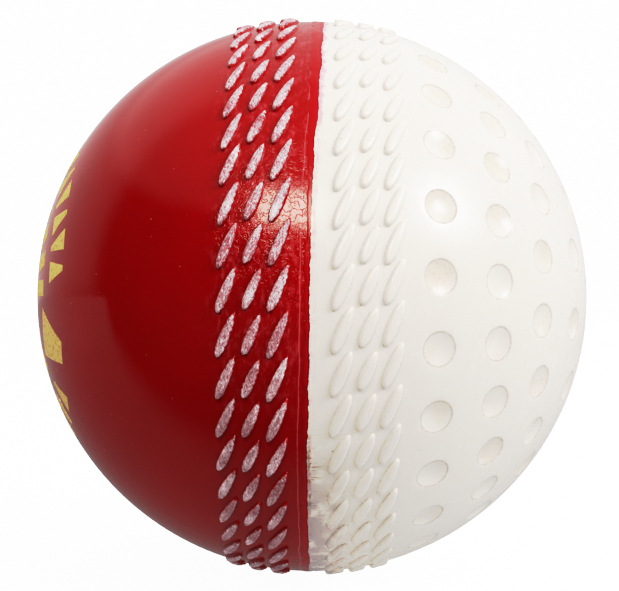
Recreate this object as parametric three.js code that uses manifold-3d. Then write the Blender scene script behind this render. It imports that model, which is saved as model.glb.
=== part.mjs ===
// A two-tone moulded practice cricket ball.
//
// Two moulded cups of glossy PVC, one red and smooth, one white and dimpled, are bonded on the
// equator over a wound core. Millimetres, +Z up, origin at the centre of the ball. The cups meet
// on the plane X = 0: the red pole is at -X and the white pole at +X.
//
// Everything is turned about one line, the pole axis. The shapes below are made with that axis
// along +Y, as LatheGeometry makes them, and the group at the end turns it onto +X.

import * as THREE from "three";
import { mergeVertices } from "three/addons/utils/BufferGeometryUtils.js";
import Module from "manifold-3d";

const wasm = await Module();
wasm.setup();

// ---------------------------------------------------------------- driving dimensions, mm

const BALL_DIAMETER = 72;            // over the plain cover, 226 mm round
const COVER_WALL = 4;
const OUTER_WINDING_WALL = 5.6;
const CORK_WALL = 9.6;
const INNER_WINDING_WALL = 6;
const LAYER_GAP = 0.15;              // the bond between two layers

const TONGUE_LENGTH = 1.6;           // the red cup's tongue, which locates the white cup
const TONGUE_THICKNESS = 1.2;
const TONGUE_INSET = 1.4;            // from the cover's outer face to the tongue
const BEAD_DEPTH = 0.6;              // the weld bead that fills the notch at the parting line
const BEAD_WIDTH = 0.5;
const TUCK_HOLE_DIAMETER = 2;        // where a winding's loose end is tucked in

const STITCHES_PER_ROW = 45;
const STITCH_WIDTH = 1.15;
const STITCH_HEIGHT = 0.6;
const STITCH_CREST_SHARE = 0.8;      // how much of a stitch's length its crest keeps
const STITCH_LEAN = 22;              // degrees from the parting line, upper end to the white side
const STITCH_ROOT = 0.4;             // how far a stitch's body reaches into the cover

const DIMPLE_DIAMETER = 4.2;
const DIMPLE_DEPTH = 0.42;
const DIMPLE_SIDES = 8;

// A row of stitches: how far it lies from the parting line along the surface, how long its
// stitches are, and the angle of its first stitch. Row by row, away from the parting line.
const RED_ROWS = [
  { arc: 3.35, length: 5.7, start: 1.3 },
  { arc: 6.22, length: 4.8, start: 1.1 },
  { arc: 9.09, length: 5.5, start: 0.9 },
];
const WHITE_ROWS = [
  { arc: 3.57, length: 5.4, start: 1.7 },
  { arc: 6.42, length: 4.5, start: 2.2 },
  { arc: 9.25, length: 5.3, start: 3.0 },
];

// The stitches were cut into the mould by eye, so their spacing drifts slowly round the ball:
// by this many degrees, twice and four times round, from these angles.
const RED_DRIFT = { twice: 1.9, twiceFrom: 183, fourTimes: 0.9, fourTimesFrom: 8 };
const WHITE_DRIFT = { twice: 3.6, twiceFrom: 200, fourTimes: 1.4, fourTimesFrom: 69 };

// A ring of dimples: its latitude, how many it has, and the angle of its first dimple.
const DIMPLE_RINGS = [
  { latitude: 23.4, count: 26, start: 4.1 },
  { latitude: 36.2, count: 26, start: 3.9 },
  { latitude: 48.6, count: 20, start: 12.2 },
  { latitude: 62.8, count: 12, start: 19.8 },
  { latitude: 75.8, count: 6, start: 5 },
  { latitude: 90, count: 1, start: 0 },
];

const SEGMENTS = 32;                 // facets round every layer, so that the layers nest
const LAYER_STEPS = 5;               // facets from the parting plane to a pole, on every layer
const COVER_STEPS = 10;              // and on the outside of the cover

// ---------------------------------------------------------------- worked-out sizes

const ballRadius = BALL_DIAMETER / 2;
const liningRadius = ballRadius - COVER_WALL;
const outerWinding = shellInside(liningRadius, OUTER_WINDING_WALL);
const cork = shellInside(outerWinding.inner, CORK_WALL);
const innerWinding = shellInside(cork.inner, INNER_WINDING_WALL);
const nucleusRadius = innerWinding.inner - LAYER_GAP;

function shellInside(radius, wall) {
  const outer = radius - LAYER_GAP;
  return { outer, inner: outer - wall };
}

const radians = THREE.MathUtils.degToRad;

// ---------------------------------------------------------------- profiles and solids

// Points of an arc about the centre, from one latitude to another, in radians.
function arc(radius, from, to, steps) {
  const points = [];
  for (let i = 0; i <= steps; i += 1) {
    const latitude = from + ((to - from) * i) / steps;
    const distance = Math.max(0, radius * Math.cos(latitude));
    points.push(new THREE.Vector2(distance, radius * Math.sin(latitude)));
  }
  return points;
}

// The same arc, starting exactly on the pole axis.
function arcFromPole(radius, to, steps) {
  const points = arc(radius, (Math.sign(to) || 1) * (Math.PI / 2), to, steps);
  points[0].x = 0;
  return points;
}

function turned(points, segments) {
  return new THREE.LatheGeometry(points, segments);
}

function latitudeAt(radius, height) {
  return Math.asin(height / radius);
}

function toSolid(geometry) {
  const bare = geometry.clone();
  bare.deleteAttribute("normal");
  bare.deleteAttribute("uv");
  const merged = mergeVertices(bare, 1e-4);
  return new wasm.Manifold(new wasm.Mesh({
    numProp: 3,
    vertProperties: new Float32Array(merged.attributes.position.array),
    triVerts: new Uint32Array(merged.index.array),
  }));
}

function toGeometry(solid) {
  const mesh = solid.getMesh();
  const geometry = new THREE.BufferGeometry();
  geometry.setAttribute("position", new THREE.BufferAttribute(mesh.vertProperties, 3));
  geometry.setIndex(new THREE.BufferAttribute(mesh.triVerts, 1));
  geometry.computeVertexNormals();
  return geometry;
}

// ---------------------------------------------------------------- places on the cover

// A frame on the cover: X runs round the ball, Y stands out of it and Z runs to the white pole.
function placeOnCover(latitude, angle) {
  const outward = new THREE.Vector3(
    Math.cos(latitude) * Math.cos(angle), Math.sin(latitude), Math.cos(latitude) * Math.sin(angle));
  const around = new THREE.Vector3(-Math.sin(angle), 0, Math.cos(angle));
  const along = new THREE.Vector3().crossVectors(around, outward);
  return new THREE.Matrix4()
    .makeBasis(around, outward, along)
    .setPosition(outward.multiplyScalar(ballRadius));
}

function drifted(angle, drift) {
  const twice = drift.twice * Math.sin(2 * angle + radians(drift.twiceFrom));
  const fourTimes = drift.fourTimes * Math.sin(4 * angle + radians(drift.fourTimesFrom));
  return angle + radians(twice + fourTimes);
}

// One stitch: a bar with a hipped top, a long ridge whose sides and ends slope up to its crest.
function stitchGeometry(length) {
  const end = length / 2;
  const side = STITCH_WIDTH / 2;
  const crestEnd = end * STITCH_CREST_SHARE;
  const geometry = new THREE.BufferGeometry();
  geometry.setAttribute("position", new THREE.Float32BufferAttribute([
    -end, -STITCH_ROOT, -side,
    end, -STITCH_ROOT, -side,
    end, -STITCH_ROOT, side,
    -end, -STITCH_ROOT, side,
    -crestEnd, STITCH_HEIGHT, 0,
    crestEnd, STITCH_HEIGHT, 0,
  ], 3));
  geometry.setIndex([0, 1, 2, 0, 2, 3, 0, 4, 5, 0, 5, 1, 2, 5, 4, 2, 4, 3, 1, 5, 2, 3, 4, 0]);
  return geometry;
}

function stitchSolids(rows, side, drift) {
  const solids = [];
  for (const row of rows) {
    const latitude = (side * row.arc) / ballRadius;
    for (let i = 0; i < STITCHES_PER_ROW; i += 1) {
      const even = radians(row.start) + (i * 2 * Math.PI) / STITCHES_PER_ROW;
      const stitch = stitchGeometry(row.length);
      stitch.rotateY(-radians(STITCH_LEAN));
      stitch.applyMatrix4(placeOnCover(latitude, drifted(even, drift)));
      solids.push(toSolid(stitch));
    }
  }
  return solids;
}

// The cutter for one dimple: a shallow cone, whose rim is on the cover, closed above it.
function dimpleGeometry() {
  const rim = DIMPLE_DIAMETER / 2;
  const rimSag = ballRadius - Math.sqrt(ballRadius * ballRadius - rim * rim);
  const overshoot = 1.2;
  return turned([
    new THREE.Vector2(0, -rimSag - DIMPLE_DEPTH),
    new THREE.Vector2(rim * overshoot, -rimSag + DIMPLE_DEPTH * (overshoot - 1)),
    new THREE.Vector2(0, rim),
  ], DIMPLE_SIDES);
}

function dimpleSolids() {
  const solids = [];
  for (const ring of DIMPLE_RINGS) {
    for (let i = 0; i < ring.count; i += 1) {
      const angle = radians(ring.start) + (i * 2 * Math.PI) / ring.count;
      const cutter = dimpleGeometry();
      cutter.applyMatrix4(placeOnCover(radians(ring.latitude), angle));
      solids.push(toSolid(cutter));
    }
  }
  return solids;
}

// ---------------------------------------------------------------- the cover

const tongueOuter = ballRadius - TONGUE_INSET;
const tongueInner = tongueOuter - TONGUE_THICKNESS;
const faceOffset = LAYER_GAP / 2;
const notchHalfWidth = BEAD_WIDTH / 2 + LAYER_GAP;
const notchBottom = ballRadius - BEAD_DEPTH - LAYER_GAP;

// The white cup: lining, face with the groove for the tongue, notch for the bead, outside.
function whiteCupProfile() {
  const lining = arcFromPole(liningRadius, latitudeAt(liningRadius, faceOffset), LAYER_STEPS);
  const grooveTop = faceOffset + TONGUE_LENGTH;
  const outside = arcFromPole(ballRadius, latitudeAt(ballRadius, notchHalfWidth), COVER_STEPS);
  return [
    ...lining,
    new THREE.Vector2(tongueInner - LAYER_GAP, faceOffset),
    new THREE.Vector2(tongueInner - LAYER_GAP, grooveTop),
    new THREE.Vector2(tongueOuter + LAYER_GAP, grooveTop),
    new THREE.Vector2(tongueOuter + LAYER_GAP, faceOffset),
    new THREE.Vector2(notchBottom, faceOffset),
    ...outside.reverse(),
  ];
}

// The red cup, mirrored, with the tongue in place of the groove.
function redCupProfile() {
  const outside = arcFromPole(ballRadius, latitudeAt(ballRadius, -notchHalfWidth), COVER_STEPS);
  const lining = arcFromPole(liningRadius, latitudeAt(liningRadius, -faceOffset), LAYER_STEPS);
  const tongueTop = TONGUE_LENGTH - faceOffset;
  return [
    ...outside,
    new THREE.Vector2(notchBottom, -faceOffset),
    new THREE.Vector2(tongueOuter, -faceOffset),
    new THREE.Vector2(tongueOuter, tongueTop),
    new THREE.Vector2(tongueInner, tongueTop),
    new THREE.Vector2(tongueInner, -faceOffset),
    ...lining.reverse(),
  ];
}

function redCup() {
  let solid = toSolid(turned(redCupProfile(), SEGMENTS));
  for (const stitch of stitchSolids(RED_ROWS, -1, RED_DRIFT)) {
    solid = solid.add(stitch);
  }
  return toGeometry(solid);
}

function whiteCup() {
  let solid = toSolid(turned(whiteCupProfile(), SEGMENTS));
  for (const stitch of stitchSolids(WHITE_ROWS, 1, WHITE_DRIFT)) {
    solid = solid.add(stitch);
  }
  for (const dimple of dimpleSolids()) {
    solid = solid.subtract(dimple);
  }
  return toGeometry(solid);
}

// The bead in the notch between the cups, its outside a little domed.
function weldBead() {
  const bottom = notchBottom + LAYER_GAP;
  const crown = ballRadius + BEAD_WIDTH / 5;
  return turned([
    new THREE.Vector2(bottom, 0),
    new THREE.Vector2(ballRadius, -BEAD_WIDTH / 2),
    new THREE.Vector2(crown, 0),
    new THREE.Vector2(ballRadius, BEAD_WIDTH / 2),
    new THREE.Vector2(bottom, 0),
  ], SEGMENTS);
}

// ---------------------------------------------------------------- the core

// A wound shell. Its yarn end is tucked into a hole at the pole that `side` gives.
function windingShell(shell, side) {
  const hole = TUCK_HOLE_DIAMETER / 2;
  const outerEdge = side * Math.acos(hole / shell.outer);
  const innerEdge = side * Math.acos(hole / shell.inner);
  const outside = arc(shell.outer, -side * (Math.PI / 2), outerEdge, 2 * LAYER_STEPS);
  const inside = arc(shell.inner, innerEdge, -side * (Math.PI / 2), 2 * LAYER_STEPS);
  outside[0].x = 0;
  inside[inside.length - 1].x = 0;
  const profile = [...outside, ...inside];
  return turned(side > 0 ? profile : profile.reverse(), SEGMENTS);
}

// One of the two cork cups, with its rim half a layer gap from the parting plane.
function corkCup(side) {
  const outerRim = side * latitudeAt(cork.outer, faceOffset);
  const innerRim = side * latitudeAt(cork.inner, faceOffset);
  const outside = arcFromPole(cork.outer, outerRim, LAYER_STEPS);
  const inside = arcFromPole(cork.inner, innerRim, LAYER_STEPS);
  const profile = [...inside, ...outside.reverse()];
  return turned(side > 0 ? profile : profile.reverse(), SEGMENTS);
}

function nucleus() {
  const points = arc(nucleusRadius, -Math.PI / 2, Math.PI / 2, 2 * LAYER_STEPS);
  points[0].x = 0;
  points[points.length - 1].x = 0;
  return turned(points, SEGMENTS);
}

// ---------------------------------------------------------------- materials and the scene

const redPvc = new THREE.MeshStandardMaterial({ color: "#a3121a", roughness: 0.2, metalness: 0 });
const whitePvc = new THREE.MeshStandardMaterial({ color: "#ebe7e0", roughness: 0.25, metalness: 0 });
const weldPvc = new THREE.MeshStandardMaterial({ color: "#c98d88", roughness: 0.4, metalness: 0 });
const yarn = new THREE.MeshStandardMaterial({ color: "#c9b591", roughness: 0.95, metalness: 0 });
const corkMix = new THREE.MeshStandardMaterial({ color: "#a9794d", roughness: 0.9, metalness: 0 });
const rubber = new THREE.MeshStandardMaterial({ color: "#3a3230", roughness: 0.8, metalness: 0 });

const ball = new THREE.Group();

function addPiece(name, geometry, material) {
  const mesh = new THREE.Mesh(geometry, material);
  mesh.name = name;
  ball.add(mesh);
}

addPiece("nucleus", nucleus(), rubber);
addPiece("inner_winding", windingShell(innerWinding, 1), yarn);
addPiece("cork_cup_white_side", corkCup(1), corkMix);
addPiece("cork_cup_red_side", corkCup(-1), corkMix);
addPiece("outer_winding", windingShell(outerWinding, -1), yarn);
addPiece("cover_cup_red", redCup(), redPvc);
addPiece("cover_cup_white", whiteCup(), whitePvc);
addPiece("weld_bead", weldBead(), weldPvc);

ball.rotation.z = -Math.PI / 2;

export default ball;
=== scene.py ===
# %% [markdown]
# # A two-tone practice cricket ball
#
# The ball is two moulded cups of glossy PVC on a wound core. The red cup is smooth and the white
# one is dimpled, and each has three rows of moulded stitches beside the line where they meet.
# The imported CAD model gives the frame: the ball's centre is the origin, the red pole is at -X,
# the white pole at +X and +Z is up. Everything here is in metres.

# %% The frame
import math

import bpy
from mathutils import Matrix, Vector, noise


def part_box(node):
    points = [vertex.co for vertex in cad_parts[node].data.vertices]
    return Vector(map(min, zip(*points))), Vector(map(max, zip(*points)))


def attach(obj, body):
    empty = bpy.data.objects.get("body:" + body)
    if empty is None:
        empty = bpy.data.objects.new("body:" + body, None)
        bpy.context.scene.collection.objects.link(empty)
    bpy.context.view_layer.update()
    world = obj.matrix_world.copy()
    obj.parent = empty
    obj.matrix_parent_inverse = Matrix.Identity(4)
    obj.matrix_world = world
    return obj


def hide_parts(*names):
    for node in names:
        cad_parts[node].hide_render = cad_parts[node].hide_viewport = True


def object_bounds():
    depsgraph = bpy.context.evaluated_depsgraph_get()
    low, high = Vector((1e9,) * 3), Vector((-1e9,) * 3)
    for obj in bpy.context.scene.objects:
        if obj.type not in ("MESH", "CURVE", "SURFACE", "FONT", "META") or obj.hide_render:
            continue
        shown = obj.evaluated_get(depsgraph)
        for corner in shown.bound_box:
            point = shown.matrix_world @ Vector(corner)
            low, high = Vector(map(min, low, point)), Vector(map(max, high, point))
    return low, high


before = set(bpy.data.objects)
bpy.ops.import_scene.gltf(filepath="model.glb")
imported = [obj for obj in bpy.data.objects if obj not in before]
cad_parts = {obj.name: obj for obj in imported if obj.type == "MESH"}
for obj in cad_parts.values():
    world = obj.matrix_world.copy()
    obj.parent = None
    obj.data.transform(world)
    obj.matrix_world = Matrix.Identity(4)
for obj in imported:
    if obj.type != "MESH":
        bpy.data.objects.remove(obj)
cad_box = [list(corner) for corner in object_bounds()]
print(len(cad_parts), "CAD solids in the frame")
MM = 0.001

red_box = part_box("cover_cup_red")
BALL_RADIUS = -red_box[0][0]
TONGUE_TOP = red_box[1][0]
print(f"ball radius {BALL_RADIUS / MM:.2f} mm, tongue reaches x = {TONGUE_TOP / MM:.2f} mm")

# %% [markdown]
# ## The camera
#
# A ball fills the picture evenly from any distance, so the distance has to be read from how the
# stitches and dimples crowd together towards the edge. They say five ball radii. The ball is
# turned a degree or so, and here the camera takes that turn, so that the ball stays in its frame.

# %% The camera
CAMERA_DISTANCE = 5.0 * BALL_RADIUS
CAMERA_LENS = 78.35
BALL_ROLL = math.radians(0.96)
BALL_YAW = math.radians(-0.39)
SHIFT_RIGHT = -0.004
SHIFT_UP = 0.0013

bpy.ops.object.camera_add()
camera = bpy.context.object
camera.name = "camera"
camera.matrix_world = (
    Matrix.Rotation(-BALL_YAW, 4, "Z")
    @ Matrix.Rotation(-BALL_ROLL, 4, "Y")
    @ Matrix.Translation((0.0, -CAMERA_DISTANCE, 0.0))
    @ Matrix.Rotation(math.radians(90), 4, "X")
)
camera.data.lens = CAMERA_LENS
camera.data.shift_x = SHIFT_RIGHT
camera.data.shift_y = SHIFT_UP
camera.data.clip_start = 0.01
bpy.context.scene.camera = camera
print("camera at", [round(v, 4) for v in camera.matrix_world.translation])

# %% [markdown]
# ## Small helpers
#
# An operator acts on everything that is selected, so each step starts by deselecting all.

# %% Selecting, applying and joining
def deselect_all():
    if bpy.context.object and bpy.context.object.mode != "OBJECT":
        bpy.ops.object.mode_set(mode="OBJECT")
    bpy.ops.object.select_all(action="DESELECT")


def select_only(*objects):
    deselect_all()
    for obj in objects:
        obj.select_set(True)
    bpy.context.view_layer.objects.active = objects[0]


def select_faces(obj, wanted):
    """Leaves the object in edit mode with only the wanted faces selected."""
    select_only(obj)
    bpy.ops.object.mode_set(mode="EDIT")
    bpy.ops.mesh.select_mode(type="FACE")
    bpy.ops.mesh.select_all(action="DESELECT")
    bpy.ops.object.mode_set(mode="OBJECT")
    for face in obj.data.polygons:
        face.select = wanted(face)
    bpy.ops.object.mode_set(mode="EDIT")


def edit_all(obj):
    """Leaves the object in edit mode with everything selected."""
    select_only(obj)
    bpy.ops.object.mode_set(mode="EDIT")
    bpy.ops.mesh.select_all(action="SELECT")


def shade_smooth(obj, degrees=50):
    """Smooth shading, but for edges sharper than this."""
    select_only(obj)
    bpy.ops.object.shade_smooth_by_angle(angle=math.radians(degrees))


def bake_place(obj):
    """Puts the object's place, turn and size into its mesh."""
    select_only(obj)
    bpy.ops.object.transform_apply(location=True, rotation=True, scale=True)


def apply_modifiers(obj):
    select_only(obj)
    for modifier in list(obj.modifiers):
        bpy.ops.object.modifier_apply(modifier=modifier.name)


def join_copies(name, source, places):
    """One mesh with a copy of the source at every place."""
    copies = []
    for place in places:
        copy = source.copy()
        copy.data = source.data.copy()
        bpy.context.collection.objects.link(copy)
        copy.matrix_world = place
        copies.append(copy)
    select_only(*copies)
    bpy.ops.object.join()
    joined = bpy.context.object
    joined.name = name
    bake_place(joined)
    return joined


def remove(obj):
    bpy.data.objects.remove(obj, do_unlink=True)


def combine(obj, tool, operation):
    """A boolean with a closed tool, which is used up."""
    modifier = obj.modifiers.new(operation.lower(), "BOOLEAN")
    modifier.operation = operation
    modifier.object = tool
    modifier.solver = "MANIFOLD"
    apply_modifiers(obj)
    remove(tool)


def place_on_ball(latitude, angle, lean=0.0):
    """A frame on the cover: X runs round the ball, Z stands out of it, and a lean turns X."""
    outward = Vector((
        math.sin(latitude),
        -math.cos(latitude) * math.cos(angle),
        math.cos(latitude) * math.sin(angle),
    ))
    around = Vector((0.0, math.sin(angle), math.cos(angle)))
    across = outward.cross(around)
    turn = Matrix((around, across, outward)).transposed().to_4x4()
    turn.translation = outward * BALL_RADIUS
    return turn @ Matrix.Rotation(lean, 4, "Z")


# %% [markdown]
# ## The two cups
#
# Each cup is half a ball with a 4 mm wall. On the real ball a tongue on the red cup sits in a
# groove in the white one, so the joint is modelled too, though the closed ball hides it. The
# cup starts as a ball, is cut in half at the parting plane, and gets its wall from Solidify.
# The tongue and groove are then inset into the rim and pushed out or in.

# %% Part of a hollow ball
COVER_WALL = 4.0 * MM
BOND_GAP = 0.15 * MM
TONGUE_INSET = 1.4 * MM
COVER_SEGMENTS = 192


def hollow_ball(name, radius, wall, cut_at, side, segments):
    """Keeps the part beyond x = cut_at, towards -X where side is -1 and +X where it is 1."""
    deselect_all()
    bpy.ops.mesh.primitive_uv_sphere_add(
        segments=segments, ring_count=segments // 2, radius=radius,
        rotation=(0.0, math.radians(90), 0.0))
    ball = bpy.context.object
    ball.name = name
    bake_place(ball)
    edit_all(ball)
    bpy.ops.mesh.bisect(
        plane_co=(cut_at, 0.0, 0.0), plane_no=(side, 0.0, 0.0),
        clear_inner=True, clear_outer=False, use_fill=False)
    bpy.ops.object.mode_set(mode="OBJECT")
    solid = ball.modifiers.new("wall", "SOLIDIFY")
    solid.thickness = wall
    solid.offset = -1.0
    solid.use_even_offset = True
    apply_modifiers(ball)
    return ball


# %% Two cups with a joint
def cut_joint(cup, side):
    """Makes the red cup's tongue, or the white cup's groove, in the middle of the rim."""
    def on_rim(face):
        return abs(face.normal.x) > 0.9 and abs(face.center.x) < 1.0 * MM

    room = 0.0 if side < 0 else BOND_GAP
    select_faces(cup, on_rim)
    bpy.ops.mesh.inset(thickness=TONGUE_INSET - room, depth=0.0, use_even_offset=True)
    reach = TONGUE_TOP + room
    bpy.ops.mesh.extrude_region_move(TRANSFORM_OT_translate={"value": (reach, 0.0, 0.0)})
    bpy.ops.object.mode_set(mode="OBJECT")


red_cup = hollow_ball("red_cup", BALL_RADIUS, COVER_WALL, 0.0, -1, COVER_SEGMENTS)
white_cup = hollow_ball("white_cup", BALL_RADIUS, COVER_WALL, 0.0, 1, COVER_SEGMENTS)
cut_joint(red_cup, -1)
cut_joint(white_cup, 1)
for cup in (red_cup, white_cup):
    print(cup.name, len(cup.data.polygons), "faces")

# %% [markdown]
# ## The stitches
#
# The stitches are moulded in one with the cup: grains of plastic about 5.5 mm long and 1.2 mm
# wide, steep at their ends and rounded along their backs. The white cup's are a little lower and
# flatter. One is modelled from a flat outline that is extruded up and drawn in, loop by loop, as
# a hand modeller would. It is then copied round the ball and joined to the cup with a boolean, so
# the cup stays one closed body. The lowest loop flares out just under the surface, which leaves a
# soft foot and not a sharp crease.

# %% One stitch
STITCH_OUTLINE_POINTS = 18
STITCH_LEAN = math.radians(-22)
END_FULLNESS = 2.6
END_ROUNDING = 0.55
# Height above the cover in mm, then the share of the outline's length and width at that height.
BROAD_LOOPS = (
    (0.02, 0.985, 0.94),
    (0.18, 0.955, 0.84),
    (0.38, 0.930, 0.69),
    (0.50, 0.880, 0.50),
    (0.56, 0.760, 0.24),
)
FLAT_LOOPS = (
    (0.02, 0.985, 0.94),
    (0.15, 0.965, 0.86),
    (0.32, 0.940, 0.75),
    (0.44, 0.890, 0.57),
    (0.49, 0.780, 0.28),
)
STITCH_ROOT = 0.25 * MM
FLARE = 0.16 * MM


def model_stitch(name, length, width, loops, taper, slope):
    """Lies along X on the cover. Taper narrows its +X end, and slope lowers it."""
    deselect_all()
    bpy.ops.mesh.primitive_circle_add(
        vertices=STITCH_OUTLINE_POINTS, radius=0.5, fill_type="NGON")
    stitch = bpy.context.object
    stitch.name = name
    for vertex in stitch.data.vertices:
        along = vertex.co.x * 2
        blunt = 1.0 - abs(along) ** END_FULLNESS
        side = math.copysign(max(blunt, 0.0) ** END_ROUNDING, vertex.co.y)
        if abs(vertex.co.y) < 1e-4:
            side = 0.0
        vertex.co.x *= length + 2 * FLARE
        vertex.co.y = side * (width / 2 + FLARE) * (1.0 - taper * along)
        vertex.co.z = -STITCH_ROOT
    edit_all(stitch)
    level = -STITCH_ROOT
    long_share = 1.0
    wide_share = 1.0
    for rise, length_share, width_share in loops:
        target = rise * MM
        bpy.ops.mesh.extrude_region_move(
            TRANSFORM_OT_translate={"value": (0.0, 0.0, target - level)})
        bpy.ops.transform.resize(
            value=(length_share / long_share, width_share / wide_share, 1.0),
            center_override=(0.0, 0.0, target))
        level, long_share, wide_share = target, length_share, width_share
    bpy.ops.object.mode_set(mode="OBJECT")
    for vertex in stitch.data.vertices:
        if vertex.co.z > -STITCH_ROOT / 2:
            toward_tip = max(0.0, vertex.co.x / (length / 2))
            vertex.co.z *= 1.0 - slope * toward_tip ** 2
            vertex.co.z -= vertex.co.x ** 2 / (2 * BALL_RADIUS)
    return stitch


# %% [markdown]
# ## Where the stitches go
#
# Each cup has three rows of 45. The mould was cut by eye, so the spacing drifts slowly round the
# ball: the drift repeats twice and four times in one turn. These are the CAD model's own numbers.

# %% Rows of stitches
STITCHES_PER_ROW = 45
# Distance from the parting line along the cover, stitch length, and the first stitch's angle.
RED_ROWS = ((3.35, 5.7, 1.3), (6.22, 4.8, 1.1), (9.09, 5.5, 0.9))
WHITE_ROWS = ((3.57, 5.4, 1.7), (6.42, 4.5, 2.2), (9.25, 5.3, 3.0))
# Degrees of drift twice round and its phase, then four times round and its phase.
RED_DRIFT = (1.9, 183, 0.9, 8)
WHITE_DRIFT = (3.6, 200, 1.4, 69)


def drifted(angle, drift):
    twice, twice_from, four, four_from = drift
    shift = twice * math.sin(2 * angle + math.radians(twice_from))
    shift += four * math.sin(4 * angle + math.radians(four_from))
    return angle + math.radians(shift)


def add_stitches(cup, rows, side, drift, width, loops, taper, slope):
    for number, (arc, length, start) in enumerate(rows):
        stitch = model_stitch(f"stitch_{number}", length * MM, width, loops, taper, slope)
        places = []
        for i in range(STITCHES_PER_ROW):
            even = math.radians(start) + i * math.tau / STITCHES_PER_ROW
            latitude = side * arc * MM / BALL_RADIUS
            places.append(place_on_ball(latitude, drifted(even, drift), STITCH_LEAN))
        faces = len(stitch.data.polygons)
        row = join_copies(f"row_{number}", stitch, places)
        remove(stitch)
        combine(cup, row, "UNION")
        print(f"{cup.name}: row {number + 1} of {STITCHES_PER_ROW} stitches, {faces} faces each")


add_stitches(red_cup, RED_ROWS, -1, RED_DRIFT, 1.07 * MM, BROAD_LOOPS, taper=0.24, slope=0.38)
add_stitches(white_cup, WHITE_ROWS, 1, WHITE_DRIFT, 1.22 * MM, FLAT_LOOPS, taper=0.10, slope=0.30)

# %% [markdown]
# ## The dimples
#
# The white cup's dimples are all one size, 4.2 mm across and 0.4 mm deep, in rings that shrink
# towards the pole. One cutter is spun from its outline: the bowl of the dimple, a small rounded
# lip, and a lid well above the cover. Its copies are cut out of the cup together.

# %% One dimple cutter
DIMPLE_RADIUS = 2.1 * MM
DIMPLE_DEPTH = 0.42 * MM
DIMPLE_SIDES = 32
BOWL_STEPS = 5
LIP = 0.08 * MM
LIP_STEPS = 3
LIP_RISE = 0.004 * MM
LID_MARGIN = 0.04 * MM
LID_FOOT = 0.02 * MM
LID_HEIGHT = 1.0 * MM


def cover_sag(distance):
    return math.sqrt(BALL_RADIUS ** 2 - distance ** 2) - BALL_RADIUS


def dimple_outline():
    rise = DIMPLE_DEPTH + cover_sag(DIMPLE_RADIUS)
    bowl = (DIMPLE_RADIUS ** 2 + rise ** 2) / (2 * rise)
    points = []
    for i in range(BOWL_STEPS + 1):
        distance = (DIMPLE_RADIUS - LIP) * i / BOWL_STEPS
        points.append((distance, bowl - math.sqrt(bowl ** 2 - distance ** 2) - DIMPLE_DEPTH))
    inner, rim = points[-1], (DIMPLE_RADIUS, cover_sag(DIMPLE_RADIUS))
    outside = DIMPLE_RADIUS + LIP
    outer = (outside, cover_sag(outside) + LIP_RISE)
    for i in range(1, LIP_STEPS + 1):
        t = i / LIP_STEPS
        a, b, c = (1 - t) ** 2, 2 * t * (1 - t), t ** 2
        points.append(tuple(a * inner[k] + b * rim[k] + c * outer[k] for k in (0, 1)))
    lid = outside + LID_MARGIN
    return points + [(lid, cover_sag(outside) + LID_FOOT), (lid, LID_HEIGHT), (0.0, LID_HEIGHT)]


def spin_outline(name, points, steps):
    """Turns an outline of (distance from Z, height) pairs about Z into a closed body."""
    mesh = bpy.data.meshes.new(name)
    vertices = [(distance, 0.0, height) for distance, height in points]
    mesh.from_pydata(vertices, [(i, i + 1) for i in range(len(points) - 1)], [])
    obj = bpy.data.objects.new(name, mesh)
    bpy.context.collection.objects.link(obj)
    edit_all(obj)
    bpy.ops.mesh.spin(steps=steps, angle=math.tau, center=(0.0, 0.0, 0.0), axis=(0.0, 0.0, 1.0))
    bpy.ops.mesh.select_all(action="SELECT")
    bpy.ops.mesh.remove_doubles(threshold=1e-6)
    bpy.ops.mesh.normals_make_consistent(inside=False)
    bpy.ops.object.mode_set(mode="OBJECT")
    return obj


# %% Rings of dimples
# Latitude, how many, and the first one's angle, in degrees.
DIMPLE_RINGS = (
    (23.4, 26, 4.1),
    (36.2, 26, 3.9),
    (48.6, 20, 12.2),
    (62.8, 12, 19.8),
    (75.8, 6, 5.0),
    (90.0, 1, 0.0),
)

dimple_places = []
for latitude, count, start in DIMPLE_RINGS:
    for i in range(count):
        angle = math.radians(start) + i * math.tau / count
        dimple_places.append(place_on_ball(math.radians(latitude), angle))
cutter = spin_outline("dimple_cutter", dimple_outline(), DIMPLE_SIDES)
cutters = join_copies("dimple_cutters", cutter, dimple_places)
remove(cutter)
combine(white_cup, cutters, "DIFFERENCE")
print(f"white cup: {len(dimple_places)} dimples, {len(white_cup.data.polygons)} faces")

# %% Smooth shading on both cups
for cup in (red_cup, white_cup):
    shade_smooth(cup)
    cup.data.calc_loop_triangles()
    print(cup.name, len(cup.data.loop_triangles), "triangles")

# %% [markdown]
# ## The weld bead
#
# Where the two cups were bonded, a thin bead squeezed out and was trimmed by hand. It stands a few
# hundredths of a millimetre proud, and its edges wander. It is spun as a flat lens-shaped ring,
# and its points are then moved a little with noise, the way a trimmed edge is uneven.

# %% A trimmed bead round the parting line
BEAD_HALF_WIDTH = 0.55 * MM
BEAD_STEPS = 720
# Millimetres out of the cover, then the share of the half width.
BEAD_SECTION = (
    (-0.5, 0.0), (-0.04, -1.0), (0.02, -0.8), (0.05, -0.4), (0.06, 0.0),
    (0.05, 0.4), (0.02, 0.8), (-0.04, 1.0), (-0.5, 0.0),
)


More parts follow.
